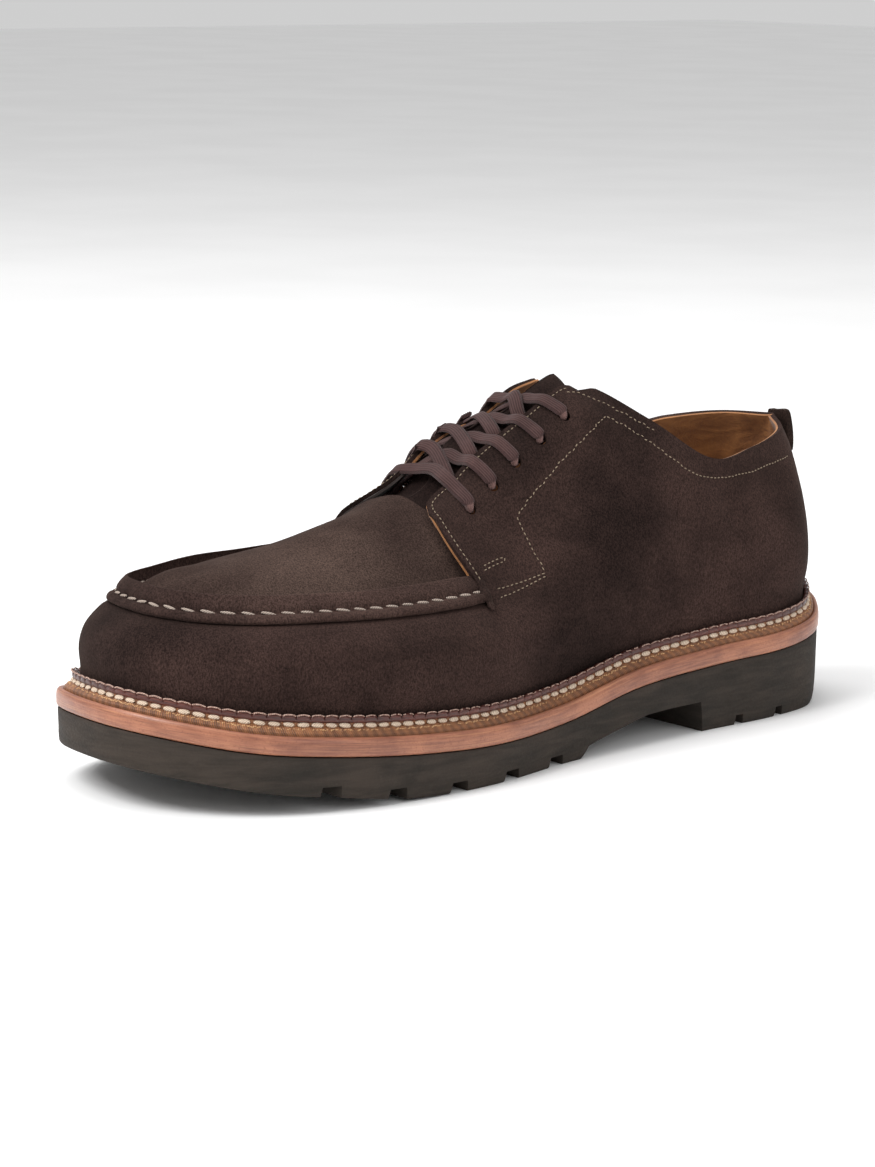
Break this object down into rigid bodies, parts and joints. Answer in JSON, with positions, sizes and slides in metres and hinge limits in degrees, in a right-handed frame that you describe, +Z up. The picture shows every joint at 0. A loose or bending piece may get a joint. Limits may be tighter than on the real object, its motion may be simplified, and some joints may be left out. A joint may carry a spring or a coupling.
{
  "type": "lace-up shoe",
  "caption": "Low-cut lace-up shoe for the left foot: hollow leather upper open at the collar, tongue, crossed flat lace, stitched welt, and a rubber sole with heel and lugs.",
  "frame": {"origin": "middle of the shoe's bounding box in X and Y, on the floor it stands on", "axes": "+Y towards the heel, toe at -Y; +X towards the outer side of this left shoe; +Z up"},
  "size_m": [0.1136, 0.306, 0.1202],
  "materials": {
    "outsole_rubber": "matte grained rubber",
    "midsole_leather": "waxed edge, satin",
    "welt_leather": "waxed strip, satin",
    "insole_leather": "matte lining leather",
    "upper_suede": "suede nap, matte",
    "tongue_suede": "suede nap, matte",
    "tab_suede": "suede nap, matte",
    "lace_cotton": "flat woven cotton, matte"
  },
  "bodies": {
    "root": {"outsole": "outsole_rubber", "midsole": "midsole_leather", "welt": "welt_leather", "insole": "insole_leather", "upper": "upper_suede", "tongue": "tongue_suede", "heel_tab": "tab_suede", "lace": "lace_cotton"}
  },
  "joints": []
}
